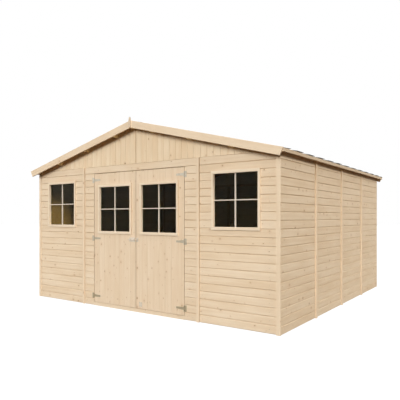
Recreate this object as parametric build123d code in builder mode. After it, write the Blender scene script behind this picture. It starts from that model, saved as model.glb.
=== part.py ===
from build123d import *
from math import cos, radians, tan
import os

os.makedirs("parts", exist_ok=True)

# Wooden garden shed with double doors. Millimetres, +Z up, the doors face -Y.
# The origin is on the ground, at the middle of the footprint.

LEFT, RIGHT = -1, 1
SIDES = (LEFT, RIGHT)
SIDE_NAMES = {LEFT: "left", RIGHT: "right"}

# Walls: boarded panels on a light frame
panel_width = 976.0
panels_a_side = 4
panel_joint = 2.0
board_cover_width = 90.0
courses = 21
cladding = 16.0
stud_depth = 32.0
stud_width = 45.0
rail_height = 45.0
frame_gap = 1.0
cover_batten_width = 42.0
cover_batten_thickness = 16.0
batten_headroom = 1.0
corner_trim_width = 50.0
corner_trim_thickness = 16.0

# Roof
roof_pitch = 14.07
deck_thickness = 18.0
shingle_thickness = 5.0
ridge_joint = 1.0
eaves_reach = 70.0
eaves_board_thickness = 16.0
eaves_board_height = 36.0
shingle_drip = 6.0
cap_reach = 150.0
cap_thickness = 4.0
gable_overhang = 88.0
barge_width = 88.0
barge_thickness = 17.0
barge_proud = 4.0
barge_end_lean = 40.0
apex_batten_width = 28.0
apex_batten_thickness = 16.0
apex_batten_rise = 40.0
apex_point_height = 34.0
apex_tip_width = 8.0
purlin_width = 34.0
purlin_height = 66.0
purlin_spacing = 565.0
first_purlin = 315.0
purlins_a_side = 3
purlin_fit = 0.3

# Floor and doorway
bearer_height = 28.0
bearer_width = 45.0
bearers = 7
deck_board_thickness = 16.0
floor_fit = 0.3
door_side_width = 200.0
leaf_gap = 5.0
meeting_gap = 6.0
ledge_height = 70.0
ledge_thickness = 16.0
ledge_inset = 60.0

# Windows: the same unit in the walls and in the leaves
leaf_stile_width = 104.5
leaf_window_shift = 7.5
leaf_window_sill = 1018.0
leaf_window_head = 187.0
wall_window_lift = 79.0
wall_window_shift = 2.0
casing_width = 35.5
casing_side_width = 27.0
casing_thickness = 16.0
lining_thickness = 12.0
bead_depth = 14.0
lining_depth = 30.0
rebate = 8.0
pane_thickness = 4.0
pane_fit = 0.3
lining_fit = 0.3

# T-hinges
end_hinge_inset = 85.0
middle_hinge_drop = 100.0
knuckle_radius = 6.0
pin_radius = 3.0
pin_clearance = 0.3
knuckle_gap = 1.0
strap_knuckle_height = 30.0
plate_knuckle_height = 18.0
hinge_metal = 3.0
hinge_plate_height = 72.0
hinge_plate_width = 26.0
strap_length = 112.0
strap_root_height = 34.0
strap_tip_height = 22.0

# Barrel bolt
bolt_metal = 3.0
bolt_plate_height = 54.0
bolt_plate_length = 102.0
bolt_plate_setback = 7.0
bolt_rod_radius = 5.0
bolt_rod_length = 120.0
bolt_rod_setback = 5.0
bolt_rod_offset = 10.0
bolt_rod_chamfer = 1.0
bolt_bore_clearance = 0.6
guide_wall = 4.0
guide_length = 16.0
guide_inset = 10.0
knob_radius = 4.0
knob_length = 18.0
knob_setback = 69.0
keeper_plate_length = 36.0
keeper_plate_setback = 5.0

# Sizes that follow
wall_thickness = cladding + stud_depth
wall_height = courses * board_cover_width
half_depth = panels_a_side * panel_width / 2
half_room = panels_a_side * panel_width / 2
half_width = half_room + wall_thickness
roof_slope = tan(radians(roof_pitch))
deck_rise = deck_thickness / cos(radians(roof_pitch))
shingle_rise = shingle_thickness / cos(radians(roof_pitch))
cap_rise = cap_thickness / cos(radians(roof_pitch))
barge_rise = barge_width / cos(radians(roof_pitch))
eaves_x = half_width + eaves_reach
deck_edge_x = eaves_x - eaves_board_thickness
roof_half_length = half_depth + gable_overhang
barge_end_x = eaves_x
floor_top = bearer_height + deck_board_thickness
header_bottom = wall_height - board_cover_width
leaf_bottom = floor_top + leaf_gap
leaf_top = header_bottom - leaf_gap
door_panel_edge = half_room - panel_width
doorway_half_width = door_panel_edge - panel_joint / 2 - door_side_width
leaf_outer_x = doorway_half_width - leaf_gap
leaf_inner_x = meeting_gap / 2
leaf_width = leaf_outer_x - leaf_inner_x
leaf_middle_x = (leaf_inner_x + leaf_outer_x) / 2
sight_width = leaf_width - 2 * leaf_stile_width
sight_height = leaf_top - leaf_window_head - leaf_window_sill
door_window_x = leaf_middle_x - leaf_window_shift
door_window_z = leaf_window_sill + sight_height / 2
outer_panel_x = half_room - panel_width / 2
wall_window_x = outer_panel_x - wall_window_shift
wall_window_z = door_window_z + wall_window_lift
middle_hinge_z = leaf_window_sill - middle_hinge_drop
hinge_heights = (leaf_bottom + end_hinge_inset, middle_hinge_z, leaf_top - end_hinge_inset)
bolt_height = middle_hinge_z
hinge_x = (doorway_half_width + leaf_outer_x) / 2
hinge_y = -half_depth - knuckle_radius
hole_width = sight_width + 2 * (rebate + lining_thickness)
hole_height = sight_height + 2 * (rebate + lining_thickness)
frame_face_y = half_depth - cladding

# Faces that pieces are drawn on: x to the right or along Y, y up
front_face = Plane.XZ.offset(half_depth)
back_face = Plane.XZ.offset(-half_depth)
front_frame_face = Plane.XZ.offset(frame_face_y)
back_frame_face = Plane.XZ.offset(-frame_face_y)
barge_front = Plane.XZ.offset(roof_half_length)
barge_back = Plane.XZ.offset(-roof_half_length)


def write(piece, name):
    """Name a finished piece and write it as its own file."""
    piece.part.label = name
    export_step(piece.part, f"parts/{name}.step")


def roof_under(x):
    """Height of the underside of the roof deck at a distance x from the ridge."""
    return wall_height + (half_width - abs(x)) * roof_slope


def roof_top(x):
    """Height of the top of the shingles at a distance x from the ridge."""
    return roof_under(x) + deck_rise + shingle_rise


def purlin_places():
    """Middles of the purlins across the roof, the ridge purlin among them."""
    row = [first_purlin + i * purlin_spacing for i in range(purlins_a_side)]
    return sorted([0] + row + [-x for x in row])


def face_from(points):
    """A flat face in the open sketch from its corner points."""
    with BuildLine() as outline:
        Polyline(*points, close=True)
    make_face(outline.edges())


# Floor: bearers along the depth, deck over them, and the sill under the doors
floor_half_x = half_room - floor_fit
floor_half_y = half_depth - wall_thickness - floor_fit

with BuildPart() as floor_bearers:
    with BuildSketch(Plane.XY):
        bearer_spacing = (2 * floor_half_x - bearer_width) / (bearers - 1)
        with GridLocations(bearer_spacing, 0, bearers, 1):
            Rectangle(bearer_width, 2 * floor_half_y)
    extrude(amount=bearer_height)
write(floor_bearers, "floor_bearers")

with BuildPart() as floor_deck:
    with BuildSketch(Plane.XY.offset(bearer_height)):
        Rectangle(2 * floor_half_x, 2 * floor_half_y)
    extrude(amount=deck_board_thickness)
write(floor_deck, "floor_deck")

with BuildPart() as door_sill:
    with BuildSketch(front_face):
        Rectangle(2 * doorway_half_width, floor_top, align=(Align.CENTER, Align.MIN))
    extrude(amount=-wall_thickness)
write(door_sill, "door_sill")

# Side walls and back wall: plain boarded panels
for side in SIDES:
    with BuildPart() as side_wall:
        with BuildSketch(Plane.YZ.offset(side * half_width)):
            with Locations((0, wall_height / 2)):
                with GridLocations(panel_width, 0, panels_a_side, 1):
                    Rectangle(panel_width - panel_joint, wall_height)
        extrude(amount=-side * cladding)
    write(side_wall, f"{SIDE_NAMES[side]}_wall")

with BuildPart() as back_wall:
    with BuildSketch(back_face):
        with Locations((0, wall_height / 2)):
            with GridLocations(panel_width, 0, panels_a_side, 1):
                Rectangle(panel_width - panel_joint, wall_height)
    extrude(amount=cladding)
write(back_wall, "back_wall")

# Front wall: a window panel each side, narrow panels beside the doorway, a header over it
for side in SIDES:
    with BuildPart() as window_panel:
        with BuildSketch(front_face):
            with Locations((side * outer_panel_x, wall_height / 2)):
                Rectangle(panel_width - panel_joint, wall_height)
            with Locations((side * wall_window_x, wall_window_z)):
                Rectangle(hole_width, hole_height, mode=Mode.SUBTRACT)
        extrude(amount=-cladding)
    write(window_panel, f"front_wall_{SIDE_NAMES[side]}")

with BuildPart() as door_sides:
    with BuildSketch(front_face):
        for side in SIDES:
            with Locations((side * (doorway_half_width + door_side_width / 2), wall_height / 2)):
                Rectangle(door_side_width, wall_height)
    extrude(amount=-cladding)
write(door_sides, "door_sides")

with BuildPart() as door_header:
    with BuildSketch(front_face):
        with Locations((0, header_bottom)):
            Rectangle(2 * doorway_half_width, board_cover_width, align=(Align.CENTER, Align.MIN))
    extrude(amount=-cladding)
write(door_header, "door_header")

# Gables: two boarded halves each, notched for the purlins
for name, plane, inwards in (("front_gable", front_face, -cladding), ("back_gable", back_face, cladding)):
    with BuildPart() as gable:
        with BuildSketch(plane):
            for side in SIDES:
                inner_x = panel_joint / 2
                face_from([
                    (side * inner_x, wall_height),
                    (side * half_width, wall_height),
                    (side * inner_x, roof_under(inner_x)),
                ])
            for x in purlin_places():
                with Locations((x, roof_under(x) - purlin_height)):
                    Rectangle(purlin_width + 2 * purlin_fit, 2 * purlin_height,
                              align=(Align.CENTER, Align.MIN), mode=Mode.SUBTRACT)
        extrude(amount=inwards)
    write(gable, name)

# Framing inside the cladding: rails along the ground and under the roof, studs between them
stud_height = wall_height - 2 * rail_height
corner_x = half_room - frame_gap
end_stud_x = corner_x - stud_width / 2
end_stud_y = frame_face_y - stud_width / 2
jamb_stud_x = doorway_half_width + stud_width / 2
side_rail_length = 2 * frame_face_y

with BuildPart() as bottom_rails:
    for side in SIDES:
        with BuildSketch(Plane.YZ.offset(side * (half_width - cladding))):
            with Locations((0, rail_height / 2)):
                Rectangle(side_rail_length, rail_height)
        extrude(amount=-side * stud_depth)
        with BuildSketch(front_frame_face):
            with Locations((side * (corner_x + doorway_half_width) / 2, rail_height / 2)):
                Rectangle(corner_x - doorway_half_width, rail_height)
        extrude(amount=-stud_depth)
    with BuildSketch(back_frame_face):
        with Locations((0, rail_height / 2)):
            Rectangle(2 * corner_x, rail_height)
    extrude(amount=stud_depth)
write(bottom_rails, "bottom_rails")

with BuildPart() as top_rails:
    for side in SIDES:
        with BuildSketch(Plane.YZ.offset(side * (half_width - cladding))):
            with Locations((0, wall_height - rail_height / 2)):
                Rectangle(side_rail_length, rail_height)
        extrude(amount=-side * stud_depth)
    for plane, inwards in ((front_frame_face, -stud_depth), (back_frame_face, stud_depth)):
        with BuildSketch(plane):
            with Locations((0, wall_height - rail_height / 2)):
                Rectangle(2 * corner_x, rail_height)
        extrude(amount=inwards)
write(top_rails, "top_rails")

side_stud_places = (-end_stud_y, -panel_width, 0, panel_width, end_stud_y)
front_stud_places = [side * x for side in SIDES for x in (jamb_stud_x, door_panel_edge, end_stud_x)]
back_stud_places = (-end_stud_x, -panel_width, 0, panel_width, end_stud_x)

with BuildPart() as wall_studs:
    for side in SIDES:
        with BuildSketch(Plane.YZ.offset(side * (half_width - cladding))):
            with Locations(*[(y, wall_height / 2) for y in side_stud_places]):
                Rectangle(stud_width, stud_height)
        extrude(amount=-side * stud_depth)
    for plane, inwards, places in (
        (front_frame_face, -stud_depth, front_stud_places),
        (back_frame_face, stud_depth, back_stud_places),
    ):
        with BuildSketch(plane):
            with Locations(*[(x, wall_height / 2) for x in places]):
                Rectangle(stud_width, stud_height)
        extrude(amount=inwards)
write(wall_studs, "wall_studs")

# Cover battens over the panel joints, and corner trims on the wall ends
side_batten_height = roof_under(half_width + cover_batten_thickness) - batten_headroom
inner_joints = panels_a_side - 1

with BuildPart() as front_battens:
    with BuildSketch(front_face):
        with Locations(*[(side * door_panel_edge, wall_height / 2) for side in SIDES]):
            Rectangle(cover_batten_width, wall_height)
    extrude(amount=cover_batten_thickness)
write(front_battens, "front_battens")

with BuildPart() as back_battens:
    with BuildSketch(back_face):
        with Locations((0, wall_height / 2)):
            with GridLocations(panel_width, 0, inner_joints, 1):
                Rectangle(cover_batten_width, wall_height)
    extrude(amount=-cover_batten_thickness)
write(back_battens, "back_battens")

with BuildPart() as side_battens:
    for side in SIDES:
        with BuildSketch(Plane.YZ.offset(side * half_width)):
            with Locations((0, side_batten_height / 2)):
                with GridLocations(panel_width, 0, inner_joints, 1):
                    Rectangle(cover_batten_width, side_batten_height)
        extrude(amount=side * cover_batten_thickness)
write(side_battens, "side_battens")

with BuildPart() as corner_trims:
    for plane, outwards in ((front_face, corner_trim_thickness), (back_face, -corner_trim_thickness)):
        with BuildSketch(plane):
            for side in SIDES:
                with Locations((side * (half_width - corner_trim_width / 2), wall_height / 2)):
                    Rectangle(corner_trim_width, wall_height)
        extrude(amount=outwards)
write(corner_trims, "corner_trims")

# Purlins carry the deck from gable to gable and out to the bargeboards
with BuildPart() as purlins:
    with BuildSketch(barge_front):
        for x in purlin_places():
            left_x = x - purlin_width / 2
            right_x = x + purlin_width / 2
            bottom = roof_under(x) - purlin_height
            top = [(left_x, roof_under(left_x)), (right_x, roof_under(right_x))]
            if x == 0:
                top.insert(1, (0, roof_under(0)))
            face_from([(left_x, bottom), *top, (right_x, bottom)])
    extrude(amount=-2 * roof_half_length)
write(purlins, "purlins")

# Roof deck and shingles, one slope each side, with a folded cap over the ridge
shingle_edge_x = eaves_x + shingle_drip
for side in SIDES:
    ridge_x = ridge_joint / 2
    with BuildPart() as roof_deck:
        with BuildSketch(barge_front):
            face_from([
                (side * ridge_x, roof_under(ridge_x)),
                (side * deck_edge_x, roof_under(deck_edge_x)),
                (side * deck_edge_x, roof_under(deck_edge_x) + deck_rise),
                (side * ridge_x, roof_under(ridge_x) + deck_rise),
            ])
        extrude(amount=-2 * roof_half_length)
    write(roof_deck, f"roof_deck_{SIDE_NAMES[side]}")

    with BuildPart() as roof_shingles:
        with BuildSketch(barge_front):
            face_from([
                (side * ridge_x, roof_under(ridge_x) + deck_rise),
                (side * shingle_edge_x, roof_under(shingle_edge_x) + deck_rise),
                (side * shingle_edge_x, roof_top(shingle_edge_x)),
                (side * ridge_x, roof_top(ridge_x)),
            ])
        extrude(amount=-2 * roof_half_length)
    write(roof_shingles, f"roof_shingles_{SIDE_NAMES[side]}")

with BuildPart() as ridge_cap:
    with BuildSketch(barge_front):
        under = [(x, roof_top(x)) for x in (-cap_reach, 0, cap_reach)]
        over = [(x, roof_top(x) + cap_rise) for x in (cap_reach, 0, -cap_reach)]
        face_from(under + over)
    extrude(amount=-2 * roof_half_length)
write(ridge_cap, "ridge_cap")

# Eaves boards along the deck ends, bargeboards up the gables, a pointed batten over each apex joint
with BuildPart() as eaves_boards:
    with BuildSketch(barge_front):
        for side in SIDES:
            eaves_bottom = roof_under(deck_edge_x) + deck_rise - eaves_board_height
            face_from([
                (side * deck_edge_x, eaves_bottom),
                (side * eaves_x, eaves_bottom),
                (side * eaves_x, roof_under(eaves_x) + deck_rise),
                (side * deck_edge_x, roof_under(deck_edge_x) + deck_rise),
            ])
    extrude(amount=-2 * roof_half_length)
write(eaves_boards, "eaves_boards")

for name, plane, outwards in (
    ("front_bargeboards", barge_front, barge_thickness),
    ("back_bargeboards", barge_back, -barge_thickness),
):
    with BuildPart() as bargeboards:
        with BuildSketch(plane):
            for side in SIDES:
                apex_x = ridge_joint / 2
                lower_end_x = barge_end_x - barge_end_lean
                face_from([
                    (side * apex_x, roof_top(apex_x) + barge_proud),
                    (side * barge_end_x, roof_top(barge_end_x) + barge_proud),
                    (side * lower_end_x, roof_top(lower_end_x) + barge_proud - barge_rise),
                    (side * apex_x, roof_top(apex_x) + barge_proud - barge_rise),
                ])
        extrude(amount=outwards)
    write(bargeboards, name)

barge_apex = roof_top(0) + barge_proud
apex_tip = barge_apex + apex_batten_rise
barge_face_y = roof_half_length + barge_thickness

with BuildPart() as apex_battens:
    for plane, outwards in (
        (Plane.XZ.offset(barge_face_y), apex_batten_thickness),
        (Plane.XZ.offset(-barge_face_y), -apex_batten_thickness),
    ):
        with BuildSketch(plane):
            face_from([
                (-apex_batten_width / 2, barge_apex - barge_rise),
                (apex_batten_width / 2, barge_apex - barge_rise),
                (apex_batten_width / 2, apex_tip - apex_point_height),
                (apex_tip_width / 2, apex_tip),
                (-apex_tip_width / 2, apex_tip),
                (-apex_batten_width / 2, apex_tip - apex_point_height),
            ])
        extrude(amount=outwards)
write(apex_battens, "apex_battens")


def window_frame_at(x, z):
    """A casing on the outside face, a bead behind it and a rebated lining through the hole, in the open part."""
    with BuildSketch(front_face) as casing:
        with Locations((x, z)):
            Rectangle(sight_width + 2 * casing_side_width, sight_height + 2 * casing_width)
            Rectangle(sight_width, sight_height, mode=Mode.SUBTRACT)
    extrude(casing.sketch, amount=casing_thickness)
    with BuildSketch(front_face) as bead:
        with Locations((x, z)):
            Rectangle(hole_width - 2 * lining_fit, hole_height - 2 * lining_fit)
            Rectangle(sight_width, sight_height, mode=Mode.SUBTRACT)
    extrude(bead.sketch, amount=-bead_depth)
    with BuildSketch(front_face) as lining:
        with Locations((x, z)):
            Rectangle(hole_width - 2 * lining_fit, hole_height - 2 * lining_fit)
            Rectangle(sight_width + 2 * rebate, sight_height + 2 * rebate, mode=Mode.SUBTRACT)
    extrude(lining.sketch, amount=-lining_depth)


def window_pane_at(x, z):
    """One sheet of glass behind the bead, in the open part."""
    with BuildSketch(front_face.offset(-bead_depth)) as pane:
        with Locations((x, z)):
            Rectangle(sight_width + 2 * (rebate - pane_fit), sight_height + 2 * (rebate - pane_fit))
    extrude(pane.sketch, amount=-pane_thickness)


# Wall windows
with BuildPart() as window_frames:
    for side in SIDES:
        window_frame_at(side * wall_window_x, wall_window_z)
write(window_frames, "window_frames")

with BuildPart() as window_panes:
    for side in SIDES:
        window_pane_at(side * wall_window_x, wall_window_z)
write(window_panes, "window_panes")

# Hinge plates on the jambs, each with two knuckles and the pin
leaf_edge_clear = knuckle_radius + knuckle_gap
pin_half_height = strap_knuckle_height / 2 + knuckle_gap + plate_knuckle_height
plate_knuckle_middle = pin_half_height - plate_knuckle_height / 2


def hinge_plate_at(side, z):
    """A jamb plate with its upper and lower knuckles and the pin through them, in the open part."""
    with BuildSketch(front_face) as plate:
        with Locations((side * (hinge_x + leaf_edge_clear + hinge_plate_width / 2), z)):
            Rectangle(hinge_plate_width, hinge_plate_height)
        for level in (z - plate_knuckle_middle, z + plate_knuckle_middle):
            with Locations((side * (hinge_x + leaf_edge_clear / 2), level)):
                Rectangle(leaf_edge_clear, plate_knuckle_height)
    extrude(plate.sketch, amount=hinge_metal)
    for level in (z - pin_half_height, z + pin_half_height - plate_knuckle_height):
        with BuildSketch(Plane.XY.offset(level)) as knuckle:
            with Locations((side * hinge_x, hinge_y)):
                Circle(knuckle_radius)
        extrude(knuckle.sketch, amount=plate_knuckle_height)
    with BuildSketch(Plane.XY.offset(z - pin_half_height)) as pin:
        with Locations((side * hinge_x, hinge_y)):
            Circle(pin_radius)
    extrude(pin.sketch, amount=2 * pin_half_height)


def hinge_strap_at(side, z):
    """A tapering strap on the leaf with its middle knuckle bored for the pin, in the open part."""
    root_x = hinge_x - leaf_edge_clear
    tip_x = root_x - strap_length
    with BuildSketch(front_face) as strap:
        face_from([
            (side * root_x, z - strap_root_height / 2),
            (side * root_x, z + strap_root_height / 2),
            (side * tip_x, z + strap_tip_height / 2),
            (side * tip_x, z - strap_tip_height / 2),
        ])
        with Locations((side * (hinge_x - leaf_edge_clear / 2), z)):
            Rectangle(leaf_edge_clear, strap_knuckle_height)
    extrude(strap.sketch, amount=hinge_metal)
    with BuildSketch(Plane.XY.offset(z - strap_knuckle_height / 2)) as knuckle:
        with Locations((side * hinge_x, hinge_y)):
            Circle(knuckle_radius)
    extrude(knuckle.sketch, amount=strap_knuckle_height)
    with BuildSketch(Plane.XY.offset(z - strap_knuckle_height / 2)) as bore:
        with Locations((side * hinge_x, hinge_y)):
            Circle(pin_radius + pin_clearance)
    extrude(bore.sketch, amount=strap_knuckle_height, mode=Mode.SUBTRACT)


with BuildPart() as hinge_plates:
    for side in SIDES:
        for z in hinge_heights:
            hinge_plate_at(side, z)
write(hinge_plates, "hinge_plates")

# Door leaves: vertical boards on three ledges, a window, and three hinge straps
for side in SIDES:
    door = f"{SIDE_NAMES[side]}_door"

    with BuildPart() as leaf:
        with BuildSketch(front_face):
            with Locations((side * leaf_middle_x, (leaf_bottom + leaf_top) / 2)):
                Rectangle(leaf_width, leaf_top - leaf_bottom)
            with Locations((side * door_window_x, door_window_z)):
                Rectangle(hole_width, hole_height, mode=Mode.SUBTRACT)
        extrude(amount=-cladding)
    write(leaf, f"{door}_leaf")

    with BuildPart() as ledges:
        with BuildSketch(front_frame_face):
            with Locations(*[(side * leaf_middle_x, z) for z in hinge_heights]):
                Rectangle(leaf_width - 2 * ledge_inset, ledge_height)
        extrude(amount=-ledge_thickness)
    write(ledges, f"{door}_ledges")

    with BuildPart() as leaf_window_frame:
        window_frame_at(side * door_window_x, door_window_z)
    write(leaf_window_frame, f"{door}_window_frame")

    with BuildPart() as leaf_pane:
        window_pane_at(side * door_window_x, door_window_z)
    write(leaf_pane, f"{door}_pane")

    with BuildPart() as straps:
        for z in hinge_heights:
            hinge_strap_at(side, z)
    write(straps, f"{door}_straps")

# Barrel bolt: housing on the left leaf, keeper on the right leaf, and the rod drawn back
rod_y = -half_depth - bolt_metal - bolt_rod_offset
guide_radius = bolt_rod_radius + bolt_bore_clearance + guide_wall
bore_radius = bolt_rod_radius + bolt_bore_clearance
bolt_plate_right = -leaf_inner_x - bolt_plate_setback
bolt_plate_left = bolt_plate_right - bolt_plate_length
keeper_left = leaf_inner_x + keeper_plate_setback


def guide_at(left_x):
    """A saddle with a round back over the rod, standing on its plate, in the open part."""
    with BuildSketch(Plane.YZ.offset(left_x)) as saddle:
        with Locations((rod_y, bolt_height)):
            Circle(guide_radius)
            Rectangle(bolt_rod_offset + bolt_metal, 2 * guide_radius, align=(Align.MIN, Align.CENTER))
            Circle(bore_radius, mode=Mode.SUBTRACT)
    extrude(saddle.sketch, amount=guide_length)


def bolt_plate_from(left_x, length):
    """A flat plate on the leaf's face, in the open part."""
    with BuildSketch(front_face) as plate:
        with Locations((left_x + length / 2, bolt_height)):
            Rectangle(length, bolt_plate_height)
    extrude(plate.sketch, amount=bolt_metal)


with BuildPart() as bolt_housing:
    bolt_plate_from(bolt_plate_left, bolt_plate_length)
    guide_at(bolt_plate_left + guide_inset)
    guide_at(bolt_plate_right - guide_inset - guide_length)
write(bolt_housing, "bolt_housing")

with BuildPart() as bolt_keeper:
    bolt_plate_from(keeper_left, keeper_plate_length)
    guide_at(keeper_left + (keeper_plate_length - guide_length) / 2)
write(bolt_keeper, "bolt_keeper")

rod_tip = -leaf_inner_x - bolt_rod_setback

with BuildPart() as bolt_rod:
    with BuildSketch(Plane.YZ.offset(rod_tip - bolt_rod_length)):
        with Locations((rod_y, bolt_height)):
            Circle(bolt_rod_radius)
    extrude(amount=bolt_rod_length)
    chamfer(bolt_rod.edges().filter_by(GeomType.CIRCLE), length=bolt_rod_chamfer)
    with BuildSketch(Plane.XZ.offset(-rod_y)):
        with Locations((rod_tip - knob_setback, bolt_height)):
            Circle(knob_radius)
    extrude(amount=bolt_rod_radius + knob_length)
write(bolt_rod, "bolt_rod")
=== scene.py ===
from math import cos, pi, radians, sin, tan

import bpy
import numpy as np
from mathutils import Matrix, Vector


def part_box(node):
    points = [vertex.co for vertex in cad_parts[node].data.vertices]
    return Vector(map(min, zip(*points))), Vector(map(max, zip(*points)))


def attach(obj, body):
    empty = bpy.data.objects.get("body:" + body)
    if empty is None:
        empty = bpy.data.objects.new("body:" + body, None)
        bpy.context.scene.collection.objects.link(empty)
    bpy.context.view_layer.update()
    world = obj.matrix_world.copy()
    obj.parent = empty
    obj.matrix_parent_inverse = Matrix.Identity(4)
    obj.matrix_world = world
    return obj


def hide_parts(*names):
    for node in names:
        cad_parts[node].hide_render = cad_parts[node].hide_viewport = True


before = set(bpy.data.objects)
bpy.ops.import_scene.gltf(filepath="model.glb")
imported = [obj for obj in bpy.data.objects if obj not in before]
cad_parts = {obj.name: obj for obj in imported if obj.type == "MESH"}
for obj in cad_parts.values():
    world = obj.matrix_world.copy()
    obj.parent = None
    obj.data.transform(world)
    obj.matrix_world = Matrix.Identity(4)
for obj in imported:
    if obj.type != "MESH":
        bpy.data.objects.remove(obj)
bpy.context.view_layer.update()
draw = np.random.default_rng(29)

X_AXIS = np.array([1.0, 0.0, 0.0])
Y_AXIS = np.array([0.0, 1.0, 0.0])
Z_AXIS = np.array([0.0, 0.0, 1.0])
SIDES = (-1, 1)
FRONT_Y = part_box("left_door_leaf")[0][1]

# Boards and timbers. All sizes are in metres, and are those that the frame doesn't give
COURSE = 0.090
DOOR_BOARDS = 8
FLOOR_BOARDS = 40
ROOF_BOARDS = 44
BOARD_GAP = 0.0020
BOARD_PROUD = 0.0008
DOOR_GAP = 0.0007
GABLE_GAP = 0.0010
GABLE_JOINT = 0.004
TONGUE_WIDTH = 0.010
TONGUE_SHARES = (0.80, 0.95)
BACKING_WIDTH = 0.060
BACKING_DEPTH = 0.014
PANEL_SEAM = 0.0025
BATTEN_PLANED = 0.008
CORNER_PLANED = 0.010
WELD_DIGITS = 5

# How far the outer edges of boards and timbers are rounded, and where the round's middle point lies
COURSE_EASE = 0.0062
GABLE_EASE = 0.0026
DOOR_EASE = 0.0012
TRIM_EASE = 0.0022
SAWN_EASE = 0.0012
SQUARE_EASE = 0.0004
EASE_BOW_SHARE = 0.40

# Roof boards
PITCH = radians(14.07)
DECK = 0.018
BARGE_WIDTH = 0.088
BARGE_LEAN = 0.040
BARGE_JOINT = 0.001

# Windows
CASING_WIDTH = 0.0355
CASING_SIDE_WIDTH = 0.027
CASING_DEPTH = 0.016
BEAD_DEPTH = 0.014
BEAD_STEP = 0.006
HOLE_MARGIN = 0.020
LINING = 0.012
BAR_WIDTH = 0.0150
BAR_DEPTH = 0.015
CROSS_BAR_WIDTH = 0.0125
CROSS_BAR_DEPTH = 0.013

# Felt shingles
SHINGLE_COURSES = 15
SHINGLE_TAB = 0.333
SHINGLE_TAB_CUT = 0.075
SHINGLE_START = 0.087
SHINGLE_CORNER_SHARES = (0.05, 0.25, 0.75, 0.95)
SHINGLE_HEAD = 0.095
SHINGLE_SHEET = 0.0032
SHINGLE_LIFT = 0.0056
SHINGLE_CURL = (0.0005, 0.0045)
EAVES_CURL = (0.004, 0.008)
SPARE_TABS = 3
RIDGE_GAP = 0.004
STARTER_WIDTH = 0.200
STARTER_SETBACK = 0.008

# Felt caps over the ridge
CAP_PIECE = 0.170
CAP_LAP = 0.060
CAP_FOLD = 0.012
CAP_SHEET = 0.0034
CAP_LIFT = 0.0035
CAP_INSET = 0.035
CAP_SEAT = 0.001
CAP_EDGE_SEAT = 0.003
CAP_POINTS = 13

# Nails, screws and the plate at the foot of the right leaf: its first and last X, and its first and last Z.
# A ring of a head is its share of the radius and its share of the rise
NAIL_INSET = 0.040
NAIL_RADIUS = 0.0024
NAIL_RISE = 0.0007
SCREW_RADIUS = 0.0042
SCREW_RISE = 0.0018
HEAD_SIDES = 10
HEAD_RING_SHARES = ((1.0, -0.5), (1.0, 0.35), (0.72, 0.76), (0.38, 0.95))
HINGE_METAL = 0.003
PLATE_SCREW_INSET = 0.011
PLATE_SCREW_RISE = 0.024
STRAP_SCREWS = (0.012, 0.048, 0.084)
BOLT_SCREW_INSET = 0.009
FOOT_PLATE = ((0.060, 0.106), (0.076, 0.132))


class Value:
    """A shader socket. Arithmetic on it adds Math nodes to its graph."""

    def __init__(self, graph, socket):
        self.graph = graph
        self.socket = socket

    def maths(self, operation, first, second):
        """A Math node on two values or numbers."""
        return self.graph.node("ShaderNodeMath", {"operation": operation}, {0: first, 1: second})

    def __add__(self, other):
        return self.maths("ADD", self, other)

    def __radd__(self, other):
        return self.maths("ADD", other, self)

    def __sub__(self, other):
        return self.maths("SUBTRACT", self, other)

    def __rsub__(self, other):
        return self.maths("SUBTRACT", other, self)

    def __mul__(self, other):
        return self.maths("MULTIPLY", self, other)

    def __rmul__(self, other):
        return self.maths("MULTIPLY", other, self)

    def __truediv__(self, other):
        return self.maths("DIVIDE", self, other)

    def __pow__(self, other):
        return self.maths("POWER", self, other)

    def __gt__(self, other):
        return self.maths("GREATER_THAN", self, other)

    def floor(self):
        """The whole number below."""
        return self.maths("FLOOR", self, 0.0)

    def wave(self):
        """A sine wave between 0 and 1, one cycle for each unit."""
        return self.maths("SINE", self * (2 * pi), 0.0) * 0.5 + 0.5


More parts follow.
